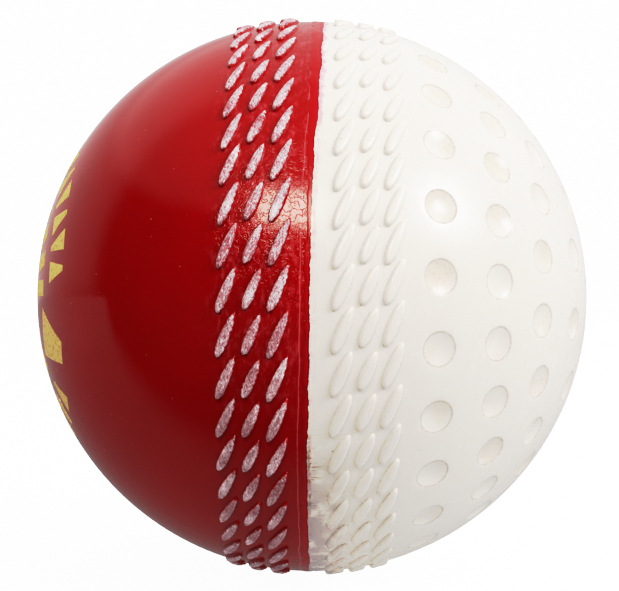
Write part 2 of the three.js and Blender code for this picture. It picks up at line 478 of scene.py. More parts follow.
def model_bead():
    outline = [(BALL_RADIUS + out * MM, share * BEAD_HALF_WIDTH) for out, share in BEAD_SECTION]
    bead = spin_outline("weld_bead_trimmed", outline, BEAD_STEPS)
    bead.matrix_world = Matrix.Rotation(math.radians(90), 4, "Y")
    bake_place(bead)
    for vertex in bead.data.vertices:
        away = vertex.co.length - BALL_RADIUS
        if away < -0.2 * MM:
            continue
        rough = noise.noise(vertex.co * 900) * 0.16 + noise.noise(vertex.co * 300) * 0.14
        vertex.co.x += rough * MM * (0.4 + abs(vertex.co.x) / BEAD_HALF_WIDTH)
        lift = noise.noise(vertex.co * 700) * 0.035 + noise.noise(vertex.co * 170) * 0.03
        vertex.co += vertex.co.normalized() * lift * MM
    shade_smooth(bead)
    return bead


bead = model_bead()
print("weld bead", len(bead.data.polygons), "faces")

# %% [markdown]
# ## The foil marks
#
# Gold foil is stamped round the red pole. The real mark is a maker's own, so this ball carries a
# plain ring of wedges, shields and bars that says nothing. Each mark is a flat grid, narrowed at
# one end, copied round the pole, laid on the cover and given the thickness of a stamped foil.

# %% Foil marks round the red pole
FOIL_SUNK = 0.01 * MM
FOIL_THICKNESS = 0.025 * MM
REPEATS = 3
WEDGES = 8
WEDGE_STEP = 10.0
INNER_RING = -58.5
OUTER_RING = -70.5


def model_mark(name, length, width, blunt):
    """Lies along X, as wide as given at its -X end, and blunt is the share left at +X."""
    deselect_all()
    bpy.ops.mesh.primitive_grid_add(x_subdivisions=10, y_subdivisions=8, size=1.0)
    mark = bpy.context.object
    mark.name = name
    for vertex in mark.data.vertices:
        narrowing = 1.0 - (1.0 - blunt) * (vertex.co.x + 0.5)
        vertex.co.x *= length
        vertex.co.y *= width * narrowing
    return mark


def lay_on_ball(obj):
    """Moves every point of a mark straight out or in until it lies on the cover."""
    for vertex in obj.data.vertices:
        vertex.co = vertex.co.normalized() * (BALL_RADIUS - FOIL_SUNK)


def foil_places(latitude, first, step, count, flip):
    places = []
    for repeat in range(REPEATS):
        for i in range(count):
            angle = math.radians(first + i * step + repeat * 360 / REPEATS)
            turn = 90 if flip and i % 2 else -90
            places.append(place_on_ball(math.radians(latitude), angle, math.radians(turn)))
    return places


def model_foil():
    rows = (
        ("foil_wedge", 4.4, 2.7, 0.25, foil_places(INNER_RING, 8.0, WEDGE_STEP, WEDGES, True)),
        ("foil_shield", 7.5, 6.4, 0.45, foil_places(INNER_RING - 3.0, -21.0, 0.0, 1, False)),
        ("foil_bar", 5.2, 2.0, 1.0, foil_places(OUTER_RING, 2.0, 15.0, 6, False)),
    )
    marks = []
    for name, length, width, blunt, places in rows:
        mark = model_mark(name, length * MM, width * MM, blunt)
        marks.append(join_copies(name + "s", mark, places))
        remove(mark)
    select_only(*marks)
    bpy.ops.object.join()
    foil = bpy.context.object
    foil.name = "foil_marks"
    lay_on_ball(foil)
    thickness = foil.modifiers.new("foil", "SOLIDIFY")
    thickness.thickness = FOIL_THICKNESS
    thickness.offset = 1.0
    apply_modifiers(foil)
    shade_smooth(foil, 40)
    return foil


foil = model_foil()
print("foil marks", len(foil.data.polygons), "faces")

# %% [markdown]
# ## The core
#
# Inside the cover is a wound core, as in a hard ball: a moulded rubber nucleus, yarn wound round
# it, two pressed cork cups, and more yarn. None of it shows while the ball is closed. Each layer
# keeps to the room its CAD solid has.

# %% The rubber nucleus
NUCLEUS_RADIUS = -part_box("nucleus")[0][0]
FLASH_HEIGHT = 0.12 * MM
FLASH_HALF_WIDTH = 0.25 * MM
NUCLEUS_STEPS = 48


def model_nucleus():
    """A ball spun from its outline, with the thin ridge that its two-part mould leaves."""
    body = NUCLEUS_RADIUS - FLASH_HEIGHT
    outline = []
    for i in range(NUCLEUS_STEPS + 1):
        angle = math.pi * i / NUCLEUS_STEPS - math.pi / 2
        outline.append((max(body * math.cos(angle), 0.0), body * math.sin(angle)))
        if i == NUCLEUS_STEPS // 2:
            outline[-1] = (body, -FLASH_HALF_WIDTH)
            outline.append((NUCLEUS_RADIUS, -FLASH_HALF_WIDTH / 2))
            outline.append((NUCLEUS_RADIUS, FLASH_HALF_WIDTH / 2))
            outline.append((body, FLASH_HALF_WIDTH))
    ball = spin_outline("nucleus_moulded", outline, 2 * NUCLEUS_STEPS)
    shade_smooth(ball, 40)
    return ball


nucleus = model_nucleus()
print("nucleus", len(nucleus.data.polygons), "faces")


# %% [markdown]
# The yarn is wound on in great circles, each turned a little from the last. The inside of the
# winding is a plain shell with a hole where the yarn's end is tucked in. The turns that show are
# rings with a flattened section, sunk to different depths, so that they cross over each other.

# %% The two windings
YARN_WIDTH = 1.0 * MM
YARN_HEIGHT = 0.7 * MM
YARN_WANDER = 0.5 * MM
DEEPEST_TURN = 0.012
SHELL_SEGMENTS = 96
TUCK_HOLE_RADIUS = 1.0 * MM
GOLDEN_TURN = math.pi * (3 - math.sqrt(5))


def model_turn(radius, steps):
    """One turn of yarn round Z, with its outside at the given radius."""
    deselect_all()
    bpy.ops.mesh.primitive_torus_add(
        major_segments=steps, minor_segments=6, major_radius=radius - YARN_HEIGHT / 2,
        minor_radius=YARN_HEIGHT / 2)
    turn = bpy.context.object
    for vertex in turn.data.vertices:
        vertex.co.z *= YARN_WIDTH / YARN_HEIGHT
        vertex.co.z += noise.noise(vertex.co * 120) * YARN_WANDER
    return turn


def winding_places(count):
    places = []
    for i in range(count):
        height = (i + 0.5) / count
        flat = math.sqrt(1 - height * height)
        axis = Vector((flat * math.cos(i * GOLDEN_TURN), flat * math.sin(i * GOLDEN_TURN), height))
        depth = (i * 0.618) % 1.0
        places.append(axis.to_track_quat("Z", "Y").to_matrix().to_4x4()
                      @ Matrix.Scale(1.0 - DEEPEST_TURN * depth, 4))
    return places


def model_winding(name, node, wall, hole_side, turns, steps):
    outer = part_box(node)[1][1]
    under = outer - YARN_HEIGHT
    cut_at = hole_side * math.sqrt(under ** 2 - TUCK_HOLE_RADIUS ** 2)
    shell = hollow_ball(name, under, wall - YARN_HEIGHT, cut_at, -hole_side, SHELL_SEGMENTS)
    turn = model_turn(outer, steps)
    yarn_turns = join_copies(name + "_turns", turn, winding_places(turns))
    remove(turn)
    select_only(shell, yarn_turns)
    bpy.ops.object.join()
    shade_smooth(shell)
    print(f"{name}: {turns} turns, {len(shell.data.polygons)} faces")
    return shell


inner_yarn = model_winding("inner_yarn", "inner_winding", 6.0 * MM, 1, 54, 48)
outer_yarn = model_winding("outer_yarn", "outer_winding", 5.6 * MM, -1, 110, 72)

# %% [markdown]
# The cork cups are pressed from granules. The cracks between the granules are cut by noise: where
# two cells of a Voronoi pattern meet, the surface is pushed in.

# %% The two cork cups
CORK_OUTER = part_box("cork_cup_red_side")[1][1]
CORK_WALL = 9.6 * MM
GRANULE_SIZE = 3.2 * MM
CRACK_WIDTH = 0.25
CRACK_DEPTH = 0.35 * MM
PIT_DEPTH = 0.3
FLAT_RIM = 0.3 * MM


def model_cork_cup(name, side):
    cup = hollow_ball(name, CORK_OUTER, CORK_WALL, 0.0, side, COVER_SEGMENTS)
    for vertex in cup.data.vertices:
        if abs(vertex.co.x) < FLAT_RIM:
            continue
        near, next_near = noise.voronoi(vertex.co / GRANULE_SIZE)[0][:2]
        crack = max(0.0, 1.0 - (next_near - near) / CRACK_WIDTH)
        pits = max(0.0, noise.noise(vertex.co * 500)) * PIT_DEPTH
        outside = 1 if vertex.co.length > CORK_OUTER - CORK_WALL / 2 else -1
        vertex.co -= outside * vertex.co.normalized() * CRACK_DEPTH * min(crack + pits, 1.0)
    shade_smooth(cup)
    print(name, len(cup.data.polygons), "faces")
    return cup


cork_red = model_cork_cup("cork_pressed_red_side", -1)
cork_white = model_cork_cup("cork_pressed_white_side", 1)

# %% [markdown]
# ## Nodes for the materials
#
# Each material is a Principled BSDF fed by noise. Small helpers keep the node trees short. One
# adds a node with its inputs filled in or linked, and the others name what a node is for.

# %% Node helpers
def add_node(tree, kind, inputs=None, **settings):
    node = tree.nodes.new(kind)
    for name, value in settings.items():
        setattr(node, name, value)
    for key, value in (inputs or {}).items():
        if isinstance(value, bpy.types.NodeSocket):
            tree.links.new(value, node.inputs[key])
        else:
            node.inputs[key].default_value = value
    return node


def math_node(tree, operation, first, second=0.0, third=0.0):
    node = add_node(tree, "ShaderNodeMath", {0: first, 1: second, 2: third}, operation=operation)
    return node.outputs[0]


def times(tree, first, second):
    return math_node(tree, "MULTIPLY", first, second)


def plus(tree, first, second):
    return math_node(tree, "ADD", first, second)


def ramp_between(tree, value, low, high):
    """0 below low and 1 above high, with a smooth step between; low may be above high."""
    node = add_node(tree, "ShaderNodeMapRange", {
        "Value": value, "From Min": low, "From Max": high}, interpolation_type="SMOOTHSTEP")
    return node.outputs["Result"]


def band(tree, value, outer_low, low, high, outer_high):
    """1 between low and high, and 0 outside the two outer values."""
    return times(tree, ramp_between(tree, value, outer_low, low),
                 ramp_between(tree, value, outer_high, high))


def spread(tree, value, low, high):
    """Turns a value between 0 and 1 into one between low and high."""
    node = add_node(tree, "ShaderNodeMapRange", {"Value": value, "To Min": low, "To Max": high})
    return node.outputs["Result"]


def mix_value(tree, share, first, second):
    node = add_node(tree, "ShaderNodeMix", {"Factor": share, "A": first, "B": second})
    return node.outputs["Result"]


def mix_colour(tree, share, first, second):
    """Each colour is a socket, or three numbers."""
    first, second = (colour if isinstance(colour, bpy.types.NodeSocket) else (*colour, 1.0)
                     for colour in (first, second))
    node = add_node(tree, "ShaderNodeMix", {0: share, 6: first, 7: second}, data_type="RGBA")
    return node.outputs[2]


def stain(tree, colour, mask, share, tint):
    return mix_colour(tree, times(tree, mask, share), colour, tint)


def split(tree, vector):
    return add_node(tree, "ShaderNodeSeparateXYZ", {"Vector": vector}).outputs


def stretch(tree, vector, scale):
    return add_node(tree, "ShaderNodeMapping", {"Vector": vector, "Scale": scale}).outputs["Vector"]


def noise_node(tree, vector, scale, detail=3.0, roughness=0.5, distortion=0.0):
    node = add_node(tree, "ShaderNodeTexNoise", {
        "Vector": vector, "Scale": scale, "Detail": detail, "Roughness": roughness,
        "Distortion": distortion})
    return node.outputs["Fac"]


def new_group(name, inputs, outputs):
    group = bpy.data.node_groups.new(name, "ShaderNodeTree")
    for socket, kind, default in inputs:
        made = group.interface.new_socket(socket, in_out="INPUT", socket_type=kind)
        if default is not None:
            made.default_value = default
    for socket, kind in outputs:
        group.interface.new_socket(socket, in_out="OUTPUT", socket_type=kind)
    start = group.nodes.new("NodeGroupInput")
    end = group.nodes.new("NodeGroupOutput")
    return group, start.outputs, end.inputs


def use_group(tree, group, inputs=None):
    return add_node(tree, "ShaderNodeGroup", inputs, node_tree=group).outputs


def new_material(name):
    material = bpy.data.materials.new(name)
    material.use_nodes = True
    tree = material.node_tree
    return material, tree, tree.nodes["Principled BSDF"]


def set_bump(tree, shader, height, distance=MM, strength=1.0):
    bump = add_node(tree, "ShaderNodeBump", {
        "Height": height, "Strength": strength, "Distance": distance})
    tree.links.new(bump.outputs["Normal"], shader.inputs["Normal"])


FLOAT, VECTOR = "NodeSocketFloat", "NodeSocketVector"

# %% [markdown]
# ## Where on the cover
#
# Ink, dirt and stains all depend on the place: how high a point stands over the plain ball, how
# far it is from the parting line, and how far up the ball it is. One group works these out in
# millimetres from the object's own coordinates, so the patterns stay put from every side.

# %% Group: place on the cover
def make_place_group():
    group, _, end = new_group(
        "place on the cover", [],
        [("Vector mm", VECTOR), ("Height mm", FLOAT), ("Across mm", FLOAT), ("Up mm", FLOAT)])
    coordinates = add_node(group, "ShaderNodeTexCoord").outputs["Object"]
    in_mm = add_node(group, "ShaderNodeVectorMath", {
        0: coordinates, 1: (1 / MM, 1 / MM, 1 / MM)}, operation="MULTIPLY").outputs["Vector"]
    distance = add_node(group, "ShaderNodeVectorMath", {0: in_mm}, operation="LENGTH")
    height = math_node(group, "SUBTRACT", distance.outputs["Value"], BALL_RADIUS / MM)
    parts = split(group, in_mm)
    group.links.new(in_mm, end["Vector mm"])
    group.links.new(height, end["Height mm"])
    group.links.new(parts["X"], end["Across mm"])
    group.links.new(parts["Z"], end["Up mm"])
    return group


place_group = make_place_group()


# %% Group: scattered specks
def make_speck_group():
    group, start, end = new_group(
        "specks",
        [("Vector mm", VECTOR, None), ("Spacing mm", FLOAT, 2.0), ("Size", FLOAT, 0.1),
         ("Share", FLOAT, 0.3)],
        [("Mask", FLOAT)])
    cells = add_node(group, "ShaderNodeTexVoronoi", {
        "Vector": start["Vector mm"],
        "Scale": math_node(group, "DIVIDE", 1.0, start["Spacing mm"])})
    chance = add_node(group, "ShaderNodeSeparateColor", {"Color": cells.outputs["Color"]}).outputs
    size = times(group, start["Size"], plus(group, chance[1], 0.3))
    dot = math_node(group, "LESS_THAN", cells.outputs["Distance"], size)
    chosen = math_node(group, "LESS_THAN", chance[0], start["Share"])
    group.links.new(times(group, dot, chosen), end["Mask"])
    return group


speck_group = make_speck_group()


# %% Group: fine relief of a moulded surface
def make_relief_group():
    group, start, end = new_group(
        "moulded relief",
        [("Vector mm", VECTOR, None), ("Wave mm", FLOAT, 4.0), ("Grain mm", FLOAT, 0.35),
         ("Grain share", FLOAT, 0.15)],
        [("Height", FLOAT)])
    vector = start["Vector mm"]
    wave = noise_node(group, vector, math_node(group, "DIVIDE", 1.0, start["Wave mm"]), 1.0)
    grain = noise_node(group, vector, math_node(group, "DIVIDE", 1.0, start["Grain mm"]), 2.0)
    grain = times(group, grain, start["Grain share"])
    group.links.new(plus(group, wave, grain), end["Height"])
    return group


relief_group = make_relief_group()


# %% Group: the ragged edge between the two colours
def make_edge_group():
    """Millimetres from the edge where red gives way to white, more than 0 on the white side."""
    group, start, end = new_group(
        "colour edge",
        [("Vector mm", VECTOR, None), ("Across mm", FLOAT, 0.0), ("Up mm", FLOAT, 0.0)],
        [("Edge mm", FLOAT), ("Smooth mm", FLOAT)])
    top = ramp_between(group, start["Up mm"], 8.0, 34.0)
    bottom = ramp_between(group, start["Up mm"], -18.0, -34.0)
    shift = plus(group, times(group, top, 0.95), times(group, bottom, 0.3))
    slow = noise_node(group, start["Vector mm"], 0.22, 2.0)
    quick = noise_node(group, start["Vector mm"], 1.6, 4.0, 0.7)
    shift = plus(group, shift, times(group, slow, 0.5))
    shift = math_node(group, "SUBTRACT", shift, 0.28)
    smooth = math_node(group, "SUBTRACT", start["Across mm"], shift)
    ragged = times(group, math_node(group, "SUBTRACT", quick, 0.5), 0.4)
    group.links.new(math_node(group, "SUBTRACT", smooth, ragged), end["Edge mm"])
    group.links.new(smooth, end["Smooth mm"])
    return group


edge_group = make_edge_group()


def edge_of(tree, place, output="Edge mm"):
    return use_group(tree, edge_group, {
        "Vector mm": place["Vector mm"], "Across mm": place["Across mm"],
        "Up mm": place["Up mm"]})[output]


# %% [markdown]
# ## Red PVC
#
# A deep red, glossy plastic. The stitches' backs carry white ink, rubbed and speckled, with dye
# showing through. The ink is found by height: it lies on whatever stands more than about a third
# of a millimetre over the plain ball, and noise makes its border uneven. Pale scuffs lie round
# the upper stitches, and the plastic there is wrinkled. A thin pale pink line beside them is a
# painted highlight. The mould line's ridge is not modelled, so its glint is painted on.

# %% Material: red PVC with worn ink
MOULD_LINE = 1.05
INK_FROM = 0.26
INK_FULL = 0.37
INK_BRIGHT = (0.92, 0.83, 0.88)
INK_PALE = (0.64, 0.49, 0.55)
INK_RUBBED = (0.34, 0.045, 0.07)
INK_ROUGHNESS = 0.5
RED_DEEP = (0.29, 0.0014, 0.003)
RED_BRIGHT = (0.355, 0.003, 0.0065)
SCUFF_PINK = (0.60, 0.10, 0.13)
MOULD_RIDGE_PAINTED_GLINT = (0.66, 0.16, 0.20)
DUST = (0.64, 0.24, 0.16)
PVC_IOR = 1.53
RELIEF_MM, WRINKLE_MM, CRACK_MM, INK_MM = 0.02, 0.013, 0.010, 0.015


def make_ink(tree, place):
    """Where the ink is, and its colour."""
    vector = place["Vector mm"]
    coarse = noise_node(tree, vector, 2.2, 4.0, 0.65)
    uneven = times(tree, math_node(tree, "SUBTRACT", coarse, 0.5), 0.85)
    level = plus(tree, place["Height mm"], uneven)
    ink = ramp_between(tree, level, INK_FROM, INK_FULL)
    fine = noise_node(tree, stretch(tree, vector, (1.7, 0.9, 0.9)), 3.8, 5.0, 0.8, 1.2)
    patch = noise_node(tree, vector, 0.35, 2.0)
    worn = plus(tree, fine, times(tree, patch, 0.25))
    kept = ramp_between(tree, worn, 0.74, 0.54)
    colour = mix_colour(tree, ramp_between(tree, worn, 0.63, 0.50), INK_PALE, INK_BRIGHT)
    return ink, kept, mix_colour(tree, kept, INK_RUBBED, colour)


def make_red_pvc():
    material, tree, shader = new_material("red_pvc")
    place = use_group(tree, place_group)
    vector = place["Vector mm"]

    tone = noise_node(tree, vector, 0.09, 3.0)
    colour = mix_colour(tree, tone, RED_DEEP, RED_BRIGHT)

    scuffs = noise_node(tree, stretch(tree, vector, (1.2, 0.6, 0.6)), 1.3, 5.0, 0.70)
    near_stitches = ramp_between(tree, place["Across mm"], -12.0, -9.0)
    scuffed = times(tree, ramp_between(tree, scuffs, 0.48, 0.74), near_stitches)
    scuffed = times(tree, scuffed, ramp_between(tree, place["Up mm"], -20.0, 4.0))
    colour = stain(tree, colour, scuffed, 0.6, SCUFF_PINK)

    # The mould line's ridge is not modelled. Its glint is a painted highlight, a thin pale pink
    # line.
    beside_edge = plus(tree, edge_of(tree, place, "Smooth mm"), MOULD_LINE)
    line = ramp_between(tree, math_node(tree, "ABSOLUTE", beside_edge), 0.10, 0.02)
    line = times(tree, line, ramp_between(tree, scuffs, 0.25, 0.50))
    colour = stain(tree, colour, line, 0.5, MOULD_RIDGE_PAINTED_GLINT)

    dust = use_group(tree, speck_group, {
        "Vector mm": vector, "Spacing mm": 1.3, "Size": 0.06, "Share": 0.5})["Mask"]
    colour = stain(tree, colour, dust, 0.6, DUST)

    ink, kept, ink_colour = make_ink(tree, place)
    colour = mix_colour(tree, ink, colour, ink_colour)
    tree.links.new(colour, shader.inputs["Base Color"])

    smudge = noise_node(tree, vector, 0.35, 4.0, 0.6)
    rough = mix_value(tree, ink, spread(tree, smudge, 0.06, 0.14), INK_ROUGHNESS)
    tree.links.new(rough, shader.inputs["Roughness"])

    relief = use_group(tree, relief_group, {
        "Vector mm": vector, "Wave mm": 3.0, "Grain mm": 0.3, "Grain share": 0.08})["Height"]
    wrinkles = plus(tree, noise_node(tree, vector, 2.2, 4.0, 0.62, 0.6), scuffs)
    wrinkles = times(tree, wrinkles, WRINKLE_MM)
    cracks = math_node(tree, "SUBTRACT", noise_node(tree, vector, 1.3, 2.0, 0.55, 0.5), 0.5)
    cracks = ramp_between(tree, math_node(tree, "ABSOLUTE", cracks), 0.05, 0.0)
    cracks = times(tree, cracks, -CRACK_MM)
    wrinkles = times(tree, plus(tree, wrinkles, cracks), near_stitches)
    ink_relief = times(tree, times(tree, kept, ink), INK_MM)
    detail = plus(tree, wrinkles, ink_relief)
    set_bump(tree, shader, math_node(tree, "MULTIPLY_ADD", relief, RELIEF_MM, detail))
    shader.inputs["IOR"].default_value = PVC_IOR
    shader.inputs["Coat Weight"].default_value = 0.15
    shader.inputs["Coat Roughness"].default_value = 0.08
    return material


red_pvc = make_red_pvc()

# %% [markdown]
# ## White PVC
#
# The same plastic in white, slightly warm. Handling has left a thin brown line of dirt on the
# lips of the dimples, cream stains in some bowls, and specks here and there. Red dye has run over
# the parting line near the top. Lower down there is rust in the scratches, and grey patches
# beside the edge make the white darker there.

# %% Marks on the white PVC
WHITE_WARM = (0.80, 0.735, 0.66)
WHITE_CLEAN = (0.85, 0.805, 0.745)
CREAM = (0.72, 0.58, 0.40)
BROWN = (0.45, 0.28, 0.16)
LIP_DIRT = (0.36, 0.28, 0.21)
STITCH_FOOT_DIRT_AND_SHADE = (0.42, 0.35, 0.29)
SPECK = (0.22, 0.16, 0.12)
DYE_RED = (0.38, 0.003, 0.008)
PAINTED_EDGE_SHADOW = (0.13, 0.001, 0.004)
DYE_PINK = (0.60, 0.27, 0.40)
RUST = (0.30, 0.15, 0.06)
LOWER_EDGE_GREY = (0.33, 0.27, 0.31)


def add_dimple_dirt(tree, colour, height_mm, patches, fine):
    cream = times(tree, ramp_between(tree, height_mm, -0.03, -0.14),
                  ramp_between(tree, patches, 0.42, 0.68))
    colour = stain(tree, colour, cream, 0.45, CREAM)
    brown = times(tree, cream, ramp_between(tree, fine, 0.50, 0.72))
    colour = stain(tree, colour, brown, 0.40, BROWN)
    lip = times(tree, band(tree, height_mm, -0.11, -0.07, -0.03, -0.008),
                ramp_between(tree, fine, 0.20, 0.66))
    return stain(tree, colour, lip, 0.62, LIP_DIRT)


def add_stitch_dirt_and_shade(tree, colour, height_mm, fine):
    # A darker band round the foot of each stitch: partly dirt, partly painted shade in the crease.
    foot = times(tree, band(tree, height_mm, 0.006, 0.02, 0.06, 0.16),
                 ramp_between(tree, fine, 0.36, 0.62))
    return stain(tree, colour, foot, 0.5, STITCH_FOOT_DIRT_AND_SHADE)


def red_with_painted_edge_shadow(tree, edge):
    """The red of the cup, with a thin painted shadow line where it ends."""
    return mix_colour(tree, ramp_between(tree, edge, -0.14, -0.02), DYE_RED, PAINTED_EDGE_SHADOW)


def add_dye(tree, colour, place, edge):
    """Red up to the colour edge, and pink a little past it, most of all near the top."""
    run = noise_node(tree, place["Vector mm"], 0.9, 4.0, 0.72)
    past = math_node(tree, "SUBTRACT", edge, times(tree, run, 2.3))
    high_up = ramp_between(tree, place["Up mm"], 4.0, 24.0)
    pink = times(tree, ramp_between(tree, past, -0.45, -1.05), plus(tree, high_up, 0.25))
    colour = stain(tree, colour, pink, 0.60, DYE_PINK)
    # The red ends in a painted shadow line at the colour edge.
    return mix_colour(tree, ramp_between(tree, edge, 0.06, 0.0), colour, red_with_painted_edge_shadow(tree, edge))


def add_rust(tree, colour, place, edge):
    """Short level scratches full of rust, a rusty line along the edge, and grey patches beside the
    edge lower down.
    """
    vector = place["Vector mm"]
    scratches = stretch(tree, vector, (0.35, 3.2, 3.2))
    ticks = ramp_between(tree, noise_node(tree, scratches, 1.3, 3.0, 0.55), 0.56, 0.66)
    ticks = times(tree, ticks, ramp_between(tree, edge, 2.2, 0.3))
    line = times(tree, band(tree, edge, 0.05, 0.15, 0.3, 0.5),
                 ramp_between(tree, noise_node(tree, vector, 0.8, 4.0, 0.7), 0.40, 0.60))
    rust = times(tree, math_node(tree, "MAXIMUM", ticks, line),
                 band(tree, place["Up mm"], -27.0, -23.5, -17.0, -14.0))
    colour = stain(tree, colour, rust, 0.85, RUST)
    # Grey patches beside the edge, darker towards the bottom.
    lower_grey = times(tree, ramp_between(tree, edge, 5.5, 0.5),
                  ramp_between(tree, place["Up mm"], -12.0, -26.0))
    lower_grey = times(tree, lower_grey, ramp_between(
        tree, noise_node(tree, vector, 0.5, 4.0, 0.6), 0.33, 0.56))
    return stain(tree, colour, lower_grey, 0.58, LOWER_EDGE_GREY)


# %% Material: white PVC with dirt and stains
def make_white_pvc():
    material, tree, shader = new_material("white_pvc")
    place = use_group(tree, place_group)
    vector = place["Vector mm"]
    height_mm = place["Height mm"]
    patches = noise_node(tree, vector, 0.16, 3.0, 0.6)
    fine = noise_node(tree, vector, 2.6, 4.0, 0.65)

    colour = mix_colour(tree, noise_node(tree, vector, 0.07, 3.0), WHITE_WARM, WHITE_CLEAN)
    colour = add_dimple_dirt(tree, colour, height_mm, patches, fine)
    colour = add_stitch_dirt_and_shade(tree, colour, height_mm, fine)
    specks = use_group(tree, speck_group, {
        "Vector mm": vector, "Spacing mm": 2.4, "Size": 0.045, "Share": 0.35})["Mask"]
    colour = stain(tree, colour, specks, 0.5, SPECK)
    edge = edge_of(tree, place)
    colour = add_rust(tree, colour, place, edge)
    colour = add_dye(tree, colour, place, edge)
    tree.links.new(colour, shader.inputs["Base Color"])

    tree.links.new(spread(tree, patches, 0.20, 0.34), shader.inputs["Roughness"])
    relief = use_group(tree, relief_group, {
        "Vector mm": vector, "Wave mm": 3.5, "Grain mm": 0.4, "Grain share": 0.15})["Height"]
    set_bump(tree, shader, times(tree, relief, 0.03))
    shader.inputs["IOR"].default_value = PVC_IOR
    shader.inputs["Subsurface Weight"].default_value = 0.15
    shader.inputs["Subsurface Radius"].default_value = (1.0, 0.6, 0.4)
    shader.inputs["Subsurface Scale"].default_value = 0.6 * MM
    return material


white_pvc = make_white_pvc()

# %% [markdown]
# ## The bead's two colours
#
# The bead is red on the red side and white on the white side, and the edge between them is
# ragged. The edge also wanders: it swings to the white side at the top of the ball, so the same
# edge is used on the white cup.

# %% Material: two-colour weld
WELD_WHITE = (0.78, 0.70, 0.63)
WELD_PINK = (0.74, 0.48, 0.52)


def make_weld():
    material, tree, shader = new_material("weld")
    place = use_group(tree, place_group)
    vector = place["Vector mm"]
    ragged = noise_node(tree, vector, 2.2, 5.0, 0.7)
    blotch = noise_node(tree, vector, 1.1, 3.0)
    white = mix_colour(tree, ramp_between(tree, blotch, 0.45, 0.7), WELD_WHITE, WELD_PINK)
    edge = edge_of(tree, place)
    white = add_rust(tree, white, place, edge)
    # The red side of the bead ends in a painted shadow line at the colour edge.
    colour = mix_colour(tree, ramp_between(tree, edge, 0.0, 0.06), red_with_painted_edge_shadow(tree, edge), white)
    tree.links.new(colour, shader.inputs["Base Color"])
    tree.links.new(spread(tree, ragged, 0.08, 0.25), shader.inputs["Roughness"])
    set_bump(tree, shader, times(tree, ragged, 0.02))
    return material


weld = make_weld()

# %% Material: gold foil
GOLD = (0.80, 0.62, 0.22)
GOLD_WORN = (0.55, 0.32, 0.10)


def make_foil():
    material, tree, shader = new_material("gold_foil")
    worn = noise_node(tree, use_group(tree, place_group)["Vector mm"], 2.0, 4.0, 0.7)
    colour = mix_colour(tree, ramp_between(tree, worn, 0.5, 0.68), GOLD, GOLD_WORN)
    tree.links.new(colour, shader.inputs["Base Color"])
    shader.inputs["Metallic"].default_value = 0.25
    tree.links.new(spread(tree, worn, 0.30, 0.55), shader.inputs["Roughness"])
    return material


gold_foil = make_foil()

# %% [markdown]
# ## Core materials
#
# The yarn is undyed and twisted: its plies run slantwise round each turn, along the turn's own UV
# map. The cork is brown, with painted shade in its cracks, and the rubber is a dull black.

# %% Material: twisted yarn
PLIES_ROUND = 130
YARN_DARK = (0.42, 0.32, 0.19)
YARN_LIGHT = (0.68, 0.56, 0.37)


def make_yarn():
    material, tree, shader = new_material("yarn")
    place = use_group(tree, place_group)
    along = add_node(tree, "ShaderNodeTexCoord").outputs["UV"]
    parts = split(tree, along)
    slant = times(tree, parts["Y"], 2.0)
    twist = plus(tree, times(tree, parts["X"], PLIES_ROUND), slant)
    ply = math_node(tree, "PINGPONG", twist, 0.5)
    fibres = noise_node(tree, place["Vector mm"], 3.0, 4.0, 0.7)
    shade = plus(tree, ply, times(tree, fibres, 0.6))
    colour = mix_colour(tree, ramp_between(tree, shade, 0.2, 0.8), YARN_DARK, YARN_LIGHT)
    tree.links.new(colour, shader.inputs["Base Color"])
    shader.inputs["Roughness"].default_value = 0.9
    set_bump(tree, shader, shade, 0.08 * MM)
    return material


yarn = make_yarn()


# %% Materials: cork and rubber
def make_core_material(name, dark, light, scale, roughness, relief_mm):
    material, tree, shader = new_material(name)
    place = use_group(tree, place_group)
    grain = noise_node(tree, place["Vector mm"], scale, 5.0, 0.65)
    colour = mix_colour(tree, ramp_between(tree, grain, 0.35, 0.65), dark, light)
    tree.links.new(colour, shader.inputs["Base Color"])
    shader.inputs["Roughness"].default_value = roughness
    set_bump(tree, shader, grain, relief_mm * MM, 0.6)
    return material, tree, shader, place, colour


def make_cork():
    """Cork with painted shade in the cracks between its granules, which lie below its outside."""
    material, tree, shader, place, colour = make_core_material(
        "cork", (0.20, 0.115, 0.06), (0.38, 0.25, 0.14), 0.9, 0.85, 0.3)
    outside = (CORK_OUTER - BALL_RADIUS) / MM
    crack = ramp_between(tree, place["Height mm"], outside - 0.06, outside - CRACK_DEPTH / MM)
    # Painted shade: the cracks below the outside are painted nearly black.
    colour = mix_colour(tree, crack, colour, (0.07, 0.035, 0.02))
    tree.links.new(colour, shader.inputs["Base Color"])
    return material


cork = make_cork()
rubber = make_core_material(
    "rubber", (0.03, 0.025, 0.024), (0.07, 0.06, 0.055), 0.6, 0.7, 0.1)[0]

# %% [markdown]
# ## Dressing the pieces
#
# Each piece gets its material and its place in the frame. It stands for one CAD solid, which stays
# hidden for the collision. The foil is the only piece with no CAD solid of its own.

# %% Dress, ride and replace
def dress(obj, material):
    obj.data.materials.clear()
    obj.data.materials.append(material)


# The piece, its material, the slot for its finish, and the CAD solid it stands for.
PIECES = (
    (red_cup, red_pvc, "red_pvc", "cover_cup_red"),
    (white_cup, white_pvc, "white_pvc", "cover_cup_white"),
    (bead, weld, "weld", "weld_bead"),
    (nucleus, rubber, "rubber", "nucleus"),
    (inner_yarn, yarn, "yarn", "inner_winding"),
    (outer_yarn, yarn, "yarn", "outer_winding"),
    (cork_red, cork, "cork", "cork_cup_red_side"),
    (cork_white, cork, "cork", "cork_cup_white_side"),
)
for piece, material, slot, node in PIECES:
    dress(piece, material)
    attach(piece, "root")
    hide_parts(node)

dress(foil, gold_foil)
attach(foil, "root")
print(len(PIECES) + 1, "pieces dressed")

